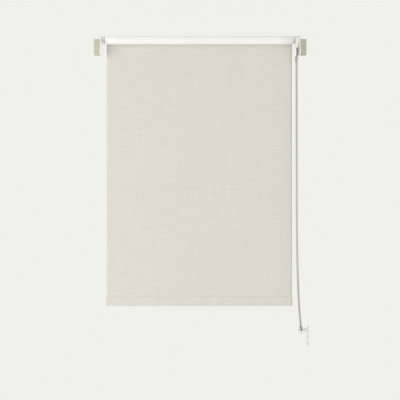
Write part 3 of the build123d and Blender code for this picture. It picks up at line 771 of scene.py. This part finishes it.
class BLIND_OT_chain(bpy.types.Operator):
    """Endless bead chain over the drive wheel and round the guide"""

    bl_idname = "blind.chain"
    bl_label = "Bead chain"

    def execute(self, context):
        chain = context.scene.blind_chain
        line = self.route_line()
        beads = self.bead_places(line, chain.pitch)
        mesh = bpy.data.meshes.new("bead_places")
        mesh.from_pydata([tuple(p) for p in beads], [(i, i + 1) for i in range(len(beads) - 1)], [])
        holder = bpy.data.objects.new("bead_places", mesh)
        context.scene.collection.objects.link(holder)
        modifier = holder.modifiers.new("Bead chain", "NODES")
        modifier.node_group = bead_tree()
        set_input(modifier, "Bead diameter", chain.bead)
        set_input(modifier, "Link diameter", chain.link)
        set_input(modifier, "Facets", chain.facets)
        set_input(modifier, "Metal", material("nickel_plate"))
        made = plain_mesh(holder, "bead_chain")
        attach(made, "mounting")
        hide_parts("chain_front", "chain_back", "chain_on_wheel", "chain_round_guide")
        return {"FINISHED"}

    def route_line(self):
        """Points read from the smooth spline through the route."""
        curve = bpy.data.curves.new("chain_route", "CURVE")
        curve.dimensions = "3D"
        spline = curve.splines.new("NURBS")
        spline.points.add(len(CHAIN_ROUTE) - 1)
        for point, place in zip(spline.points, CHAIN_ROUTE):
            point.co = (*place, 1)
        spline.order_u = 3
        spline.use_endpoint_u = True
        spline.resolution_u = 24
        holder = bpy.data.objects.new("chain_route", curve)
        bpy.context.scene.collection.objects.link(holder)
        graph = bpy.context.evaluated_depsgraph_get()
        mesh = bpy.data.meshes.new_from_object(holder.evaluated_get(graph))
        line = np.array([v.co for v in mesh.vertices], float)
        bpy.data.objects.remove(holder)
        bpy.data.meshes.remove(mesh)
        return line

    def bead_places(self, line, pitch):
        """A bead at the top of the drive wheel and the others one pitch apart, both ways from it."""
        top = int(np.argmax(line[:, 2]))
        forward = self.stepped(line[top:], pitch)
        backward = self.stepped(line[top::-1], pitch)
        return np.array(backward[:0:-1] + forward)

    def stepped(self, line, pitch):
        """Points along the line, each one pitch in a straight line from the one before.

        A sphere of one pitch round the last point meets each stretch of the line where share solves
        a * share**2 + b * share + c = 0.
        """
        places = [line[0]]
        for start, end in zip(line, line[1:]):
            while True:
                run, back = end - start, start - places[-1]
                a, b, c = run @ run, 2 * run @ back, back @ back - pitch * pitch
                inside = b * b - 4 * a * c
                if a == 0 or inside < 0:
                    break
                share = (-b + inside**0.5) / (2 * a)
                if not 0 <= share <= 1:
                    break
                places.append(start + share * run)
                start = places[-1]
        return places


class BLIND_OT_cloth(bpy.types.Operator):
    """Hanging cloth, from the back of the roll to the hem folded round its bar"""

    bl_idname = "blind.cloth"
    bl_label = "Hanging cloth"

    def execute(self, context):
        cloth = context.scene.blind_cloth
        profile, thin, seam, hang = self.profile(cloth)
        top, bottom = AXIS_Z, cloth.hem_edge + cloth.hem_height + cloth.seam_height
        half_width, stiff = 0.28, 0.006

        def ripple(x, z, row):
            """Y by which a point of the free cloth leaves its plane."""
            if not hang[row]:
                return 0
            share = (top - z) / (top - bottom)
            fade = min(1, 5 * share) * min(1, 5 * (1 - share))
            across = x / half_width
            wave = 0.6 * sin(2.1 * across + 5.2 * share) + 0.4 * sin(5.3 * across - 8.0 * share)
            curl = 0.5 * across**8
            return cloth.ripple * fade * (wave + curl)

        made = strip(
            "blind_cloth",
            profile,
            lambda row: (CLOTH_LEFT, CLOTH_RIGHT),
            112,
            thin,
            seam,
            cloth,
            ripple,
        )
        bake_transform(made)
        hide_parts("hanging_cloth", "thermal_backing", "hem_pocket")
        return {"FINISHED"}

    def profile(self, cloth):
        """Points of the cloth's middle, from its start on the roll to its end behind the seam.

        Each has its share of the thickness, its mark of the weld, which sets the painted shade along
        the seam, and whether it hangs free.
        """
        points, thin, seam, hang = [], [], [], []

        def add(y, z, share=1.0, mark=0.0, free=False):
            """One more point and its marks."""
            points.append((y, z))
            thin.append(share)
            seam.append(mark)
            hang.append(free)

        thin_end, roll_gap, seam_gap = 0.08, 0.00003, 0.00002
        fold_start, weld_rise, shoulder_drop = 0.009, 0.0018, 0.0026
        rest = cloth.roll_radius + roll_gap + cloth.thickness * thin_end / 2
        steps = 20
        for step in range(steps):
            share = 1 - step / steps
            radius = cloth.hang_radius + (rest - cloth.hang_radius) * eased(share)
            turn = cloth.wrap * share
            thick = 1 + (thin_end - 1) * eased(share)
            add(AXIS_Y + radius * cos(turn), AXIS_Z + radius * sin(turn), thick)
        seam_low = cloth.hem_edge + cloth.hem_height
        seam_top = seam_low + cloth.seam_height
        half = cloth.thickness / 2
        last = seam_top + fold_start
        rows = 150
        for row in range(rows + 1):
            add(cloth.hang_y, AXIS_Z + (last - AXIS_Z) * row / rows, free=0 < row < rows)
        for step in range(1, 7):
            share = step / 6
            add(cloth.hang_y - half * share, last + (seam_top - last) * share)
        bulge = cloth.hem_depth / 2 - half
        weld_low, upper = seam_low + weld_rise, seam_low - shoulder_drop
        # The weld's marks set the painted shade along the seam on the front of the hem
        for step in range(9):
            z = seam_top + (weld_low - seam_top) * step / 8
            add(cloth.hang_y - half, z, 1.0, 1.0 if 0 < step < 8 else 0.4)

        def shoulder(side, share):
            """Place on the bend from the weld out to the side of the bar."""
            out = half + (bulge - half) * eased(share)
            lift = 3 * (1 - share) ** 2 * share * 0.4 + 3 * (1 - share) * share**2 * 0.8 + share**3
            return cloth.hang_y + side * out, weld_low + (upper - weld_low) * lift

        for step in range(1, 11):
            add(*shoulder(-1, step / 10))
        straight_low = cloth.hem_edge + half + bulge
        for step in range(1, 9):
            add(cloth.hang_y - bulge, upper + (straight_low - upper) * step / 8)
        for step in range(1, 13):
            turn = pi * step / 12
            add(cloth.hang_y - bulge * cos(turn), straight_low - bulge * sin(turn))
        for step in range(1, 9):
            add(cloth.hang_y + bulge, straight_low + (upper - straight_low) * step / 8)
        for step in range(1, 11):
            add(*shoulder(1, 1 - step / 10))
        # The weld's marks set the painted shade along the seam on the back of the hem
        for step in range(1, 9):
            z = weld_low + (seam_top - weld_low) * step / 8
            add(cloth.hang_y + half + seam_gap, z, 1.0, 1.0 if step < 8 else 0.4)
        return np.array(points), thin, seam, hang


class BLIND_OT_roll(bpy.types.Operator):
    """Turns of cloth on the tube, closed outside and spiral at both ends"""

    bl_idname = "blind.roll"
    bl_label = "Rolled cloth"

    def execute(self, context):
        cloth = context.scene.blind_cloth
        pick = np.random.default_rng(cloth.seed)
        steps, ramp, leave = 56, 0.12, radians(42)
        sink = 0.06 * cloth.thickness
        inner = cloth.core_radius + cloth.thickness / 2
        outer = cloth.roll_radius - cloth.thickness / 2
        pitch = cloth.thickness * 0.985
        inside = (outer - cloth.thickness - inner) / pitch
        turns = inside + 1 + ramp + 2 / steps
        start = leave - tau * turns
        profile, sides, thin = [], [], []
        wander = np.cumsum(pick.normal(0, 1, (int(turns * steps) + 2, 2)), axis=0)
        wander -= np.linspace(0, 1, len(wander))[:, None] * wander[-1]
        wander *= cloth.stagger / max(1e-9, float(np.abs(wander).max()))
        for step in range(int(turns * steps) + 1):
            turn = step / steps
            radius, thick = inner + pitch * turn, 1.0
            if turn > inside:
                rise = eased(min(1, (turn - inside) / (0.8 * ramp)))
                lag = max(0, 1 - (turn - inside)) * sink / 2
                radius = outer - lag - cloth.thickness * (1 - rise)
            if turn > inside + 1:
                share = (turn - inside - 1) / ramp
                thick = max(0.04, 1 - eased(min(1, share)))
                radius = outer + cloth.thickness * (1 - thick) / 2 - sink * share**2
            thin.append(thick)
            angle = start + tau * turn
            profile.append((AXIS_Y + radius * cos(angle), AXIS_Z + radius * sin(angle)))
            left, right = min(1, (turns - turn) * 2) * np.abs(wander[step])
            sides.append((CLOTH_LEFT + left, CLOTH_RIGHT - right))
        profile = np.array(profile[::-1])
        sides = sides[::-1]
        made = strip(
            "rolled_turns",
            profile,
            lambda row: sides[row],
            14,
            thin[::-1],
            [0.0] * len(profile),
            cloth,
        )
        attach(made, "roller")
        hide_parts("rolled_cloth")
        return {"FINISHED"}


class BLIND_OT_spring(bpy.types.Operator):
    """Spring behind the idle pin, which shortens as the pin goes in"""

    bl_idname = "blind.spring"
    bl_label = "Idle pin spring"

    def execute(self, context):
        spring = context.scene.blind_spring
        half = spring.wire / 2
        start, end = SPRING_LOW.x + half, SPRING_HIGH.x - half
        radius = (SPRING_HIGH.z - SPRING_LOW.z) / 2 - half
        rings, around = int(28 * spring.turns), 10
        slope = (end - start) / (tau * spring.turns * radius)
        points = []
        for ring in range(rings + 1):
            share = ring / rings
            turn = tau * spring.turns * share
            out = Vector((0, cos(turn), sin(turn)))
            ahead = Vector((slope, -sin(turn), cos(turn))).normalized()
            side = ahead.cross(out)
            middle = Vector((start + (end - start) * share, AXIS_Y, AXIS_Z)) + radius * out
            for step in range(around):
                angle = tau * step / around
                points.append(middle + half * (cos(angle) * out + sin(angle) * side))
        faces = [range(around)[::-1], range(rings * around, (rings + 1) * around)]
        faces += [face[::-1] for face in ring_faces(0, rings + 1, around)]
        made = piece("pin_spring", points, faces, material("spring_wire"))
        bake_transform(made)
        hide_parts("idle_spring")
        return {"FINISHED"}


class BLIND_OT_screws(bpy.types.Operator):
    """Screws of the two brackets and of the chain guide"""

    bl_idname = "blind.screws"
    bl_label = "Screws"

    def execute(self, context):
        sizes = context.scene.blind_screws
        sets = [
            ("bracket_screws", BRACKET_SCREWS, sizes.bracket_head, BRACKET_SHANK, 0.0),
            ("guide_screws", GUIDE_SCREWS, sizes.guide_head, GUIDE_SHANK, -pi / 2),
        ]
        tree = screw_tree()
        for name, places, wide, shank, turn in sets:
            one = screw(shank / wide)
            mesh = bpy.data.meshes.new(name)
            mesh.from_pydata(places, [], [])
            holder = bpy.data.objects.new(name + "_places", mesh)
            context.scene.collection.objects.link(holder)
            modifier = holder.modifiers.new("Screws", "NODES")
            modifier.node_group = tree
            set_input(modifier, "Screw", one)
            set_input(modifier, "Diameter", wide)
            set_input(modifier, "Lean", pi / 2)
            set_input(modifier, "Turn", turn)
            set_input(modifier, "Metal", material("screw_plate"))
            set_input(modifier, "Seed", sizes.seed)
            made = plain_mesh(holder, name)
            bpy.data.objects.remove(one)
            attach(made, "mounting")
        return {"FINISHED"}


class BLIND_OT_finishes(bpy.types.Operator):
    """Materials of the brackets, tube, wheels, hem parts, springs and chain fittings"""

    bl_idname = "blind.finishes"
    bl_label = "Finishes"

    def execute(self, context):
        finishes = {
            "satin_paint": ["left_bracket", "right_bracket"],
            "moulded_white": [
                "left_bracket_cover",
                "right_bracket_cover",
                "idle_pin",
                "control_arbor",
                "chain_guard",
                "guide_base",
                "guide_cover",
            ],
            "moulded_ivory": [
                "idle_plug",
                "drive_wheel",
                "guide_wheel",
                "hem_cap_left",
                "hem_cap_right",
            ],
            "mill_aluminium": ["roller_tube", "hem_bar"],
            "spring_wire": ["clutch_springs", "guide_pin"],
            "nickel_plate": ["chain_stop", "chain_connector"],
            "tape_film": ["cloth_tape"],
        }
        for name, nodes in finishes.items():
            for node in nodes:
                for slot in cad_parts[node].material_slots:
                    slot.material = material(name)
        return {"FINISHED"}


# Panel and registration


class BLIND_PT_sidebar(bpy.types.Panel):
    """Sizes, colours and pieces of the blind"""

    bl_idname = "BLIND_PT_sidebar"
    bl_label = "Roller blind"
    bl_space_type = "VIEW_3D"
    bl_region_type = "UI"
    bl_category = "Blind"

    def draw(self, context):
        for group in GROUPS:
            held = getattr(context.scene, group)
            box = self.layout.box()
            for name in held.bl_rna.properties.keys():
                if name not in ("rna_type", "name"):
                    box.prop(held, name)
        for operator in OPERATORS:
            self.layout.operator(operator.bl_idname)


GROUPS = {
    "blind_cloth": BlindCloth,
    "blind_chain": BlindChain,
    "blind_spring": BlindSpring,
    "blind_screws": BlindScrews,
    "blind_colours": BlindColours,
    "blind_stage": BlindStage,
}
OPERATORS = [
    BLIND_OT_stage,
    BLIND_OT_chain,
    BLIND_OT_cloth,
    BLIND_OT_roll,
    BLIND_OT_spring,
    BLIND_OT_screws,
    BLIND_OT_finishes,
]


def register():
    for group in GROUPS.values():
        bpy.utils.register_class(group)
    for name, group in GROUPS.items():
        setattr(bpy.types.Scene, name, PointerProperty(type=group))
    for operator in OPERATORS:
        bpy.utils.register_class(operator)
    bpy.utils.register_class(BLIND_PT_sidebar)


def unregister():
    bpy.utils.unregister_class(BLIND_PT_sidebar)
    for operator in reversed(OPERATORS):
        bpy.utils.unregister_class(operator)
    for name, group in GROUPS.items():
        delattr(bpy.types.Scene, name)
        bpy.utils.unregister_class(group)


def main():
    register()
    bpy.ops.blind.stage()
    bpy.ops.blind.chain()
    bpy.ops.blind.roll()
    bpy.ops.blind.cloth()
    bpy.ops.blind.spring()
    bpy.ops.blind.screws()
    bpy.ops.blind.finishes()


if __name__ == "__main__":
    main()
